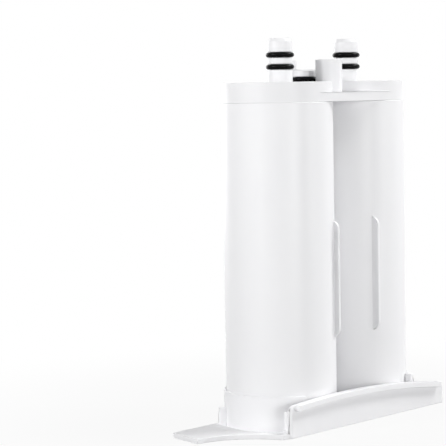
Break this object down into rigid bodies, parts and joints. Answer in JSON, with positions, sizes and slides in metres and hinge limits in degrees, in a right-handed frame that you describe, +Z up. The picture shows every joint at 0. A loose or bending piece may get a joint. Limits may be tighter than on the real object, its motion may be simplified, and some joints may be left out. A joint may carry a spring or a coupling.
{
  "type": "refrigerator water filter cartridge",
  "caption": "Twin-canister water filter cartridge for a refrigerator, with ringed spigots on a bridged head and a grip base with an arched lip and a pull tab.",
  "frame": {"origin": "underside of the grip base, midway between the two canister axes", "axes": "+Z up along the canisters to the spigots, +X from the inlet canister to the outlet canister, -Y to the front panel"},
  "size_m": [0.1741, 0.0678, 0.2091],
  "materials": {
    "head_plastic": "satin moulded white",
    "canister_plastic": "satin moulded white",
    "base_plastic": "satin moulded white",
    "seal_rubber": "smooth black",
    "filter_carbon": "pressed carbon grains",
    "filter_fleece": "white non-woven fleece",
    "sleeve_plastic": "porous plastic",
    "end_cap_plastic": "moulded"
  },
  "bodies": {
    "root": {"grip_base": "base_plastic", "head": "head_plastic", "inlet_canister": "canister_plastic", "inlet_carbon_block": "filter_carbon", "inlet_core_sleeve": "sleeve_plastic", "inlet_fleece_wrap": "filter_fleece", "inlet_lower_end_cap": "end_cap_plastic", "inlet_lower_o_ring": "seal_rubber", "inlet_spigot_seal": "seal_rubber", "inlet_upper_end_cap": "end_cap_plastic", "inlet_upper_o_ring": "seal_rubber", "outlet_canister": "canister_plastic", "outlet_carbon_block": "filter_carbon", "outlet_core_sleeve": "sleeve_plastic", "outlet_fleece_wrap": "filter_fleece", "outlet_lower_end_cap": "end_cap_plastic", "outlet_lower_o_ring": "seal_rubber", "outlet_spigot_seal": "seal_rubber", "outlet_upper_end_cap": "end_cap_plastic", "outlet_upper_o_ring": "seal_rubber", "stub_o_ring": "seal_rubber"}
  },
  "joints": []
}
